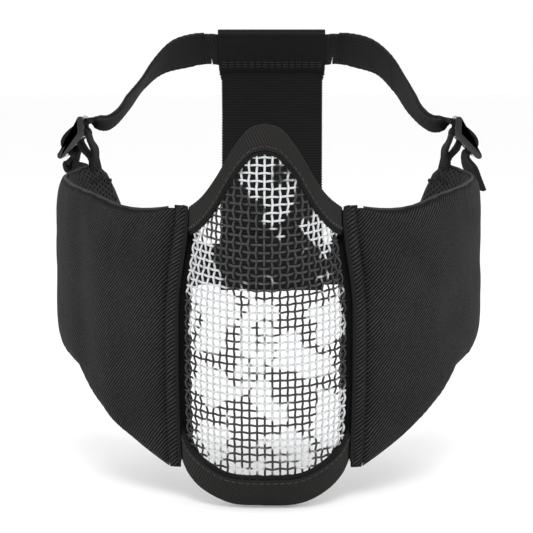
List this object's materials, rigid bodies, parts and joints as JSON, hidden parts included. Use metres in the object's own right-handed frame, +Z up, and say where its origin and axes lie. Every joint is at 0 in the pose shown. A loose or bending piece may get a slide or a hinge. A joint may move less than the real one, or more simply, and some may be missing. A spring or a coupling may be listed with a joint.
{
  "type": "foldable half-face mesh mask",
  "caption": "Half-face mask with a dished wire-mesh panel, folding padded cheek wings and an elastic harness with a wide back band.",
  "frame": {"origin": "the point between the wings on the wearer's mid-plane, 46 mm behind the fold seams, at the level of the lower mesh bend, where the face sits", "axes": "+Z up, the face looks along -Y, +X is the wearer's left"},
  "size_m": [0.1926, 0.225, 0.1925],
  "materials": {
    "wire": "woven steel wire, satin black with painted off-white patches",
    "binding_tape": "ribbed polyester binding tape",
    "cover_cloth": "black twill-woven nylon",
    "foam": "soft closed-cell padding",
    "spacer_mesh": "black spacer mesh with open cells",
    "webbing": "black elastic webbing",
    "band_elastic": "wide ribbed knitted elastic",
    "thread": "black bonded nylon thread",
    "buckle_plastic": "glossy moulded acetal"
  },
  "bodies": {
    "front": {"mesh_panel": "wire", "nose_tape": "binding_tape", "chin_tape": "binding_tape", "left_side_tape": "binding_tape", "right_side_tape": "binding_tape", "left_fold_tape": "binding_tape", "right_fold_tape": "binding_tape"},
    "left_wing": {"left_wing_cover": "cover_cloth", "left_wing_foam": "foam", "left_wing_lining": "spacer_mesh", "left_edge_roll": "cover_cloth", "left_strap_loop": "webbing", "left_loop_tacks": "thread", "left_lower_tacks": "thread"},
    "right_wing": {"right_wing_cover": "cover_cloth", "right_wing_foam": "foam", "right_wing_lining": "spacer_mesh", "right_edge_roll": "cover_cloth", "right_strap_loop": "webbing", "right_loop_tacks": "thread", "right_lower_tacks": "thread"},
    "left_buckle": {"left_ladder_lock": "buckle_plastic"},
    "right_buckle": {"right_ladder_lock": "buckle_plastic"},
    "harness": {"upper_strap": "webbing", "lower_strap": "webbing"},
    "band": {"back_band": "band_elastic", "top_hem_stitches": "thread", "bottom_hem_stitches": "thread"}
  },
  "joints": [
    {"name": "left_wing_fold", "type": "hinge", "parent": "front", "child": "left_wing", "pos_m": [0.033, -0.046, 0], "axis": [0, 0, 1], "range_deg": [-14, 24], "deforming": ["left_fold_tape", "upper_strap", "lower_strap"]},
    {"name": "right_wing_fold", "type": "hinge", "parent": "front", "child": "right_wing", "pos_m": [-0.033, -0.046, 0], "axis": [0, 0, -1], "range_deg": [-14, 24], "deforming": ["right_fold_tape"]},
    {"name": "left_buckle_tilt", "type": "hinge", "parent": "left_wing", "child": "left_buckle", "pos_m": [0.08316, 0.05882, 0.05429], "axis": [0, 1, 0], "range_deg": [-20, 12]},
    {"name": "right_buckle_tilt", "type": "hinge", "parent": "right_wing", "child": "right_buckle", "pos_m": [-0.08316, 0.05882, 0.05429], "axis": [0, -1, 0], "range_deg": [-20, 12]},
    {"name": "harness_stretch", "type": "slide", "parent": "front", "child": "harness", "axis": [0, 1, 0], "range_m": [0, 0.04], "stiffness_N_per_m": 60},
    {"name": "band_shift", "type": "slide", "parent": "harness", "child": "band", "axis": [1, 0, 0], "range_m": [-0.008, 0.008]}
  ]
}
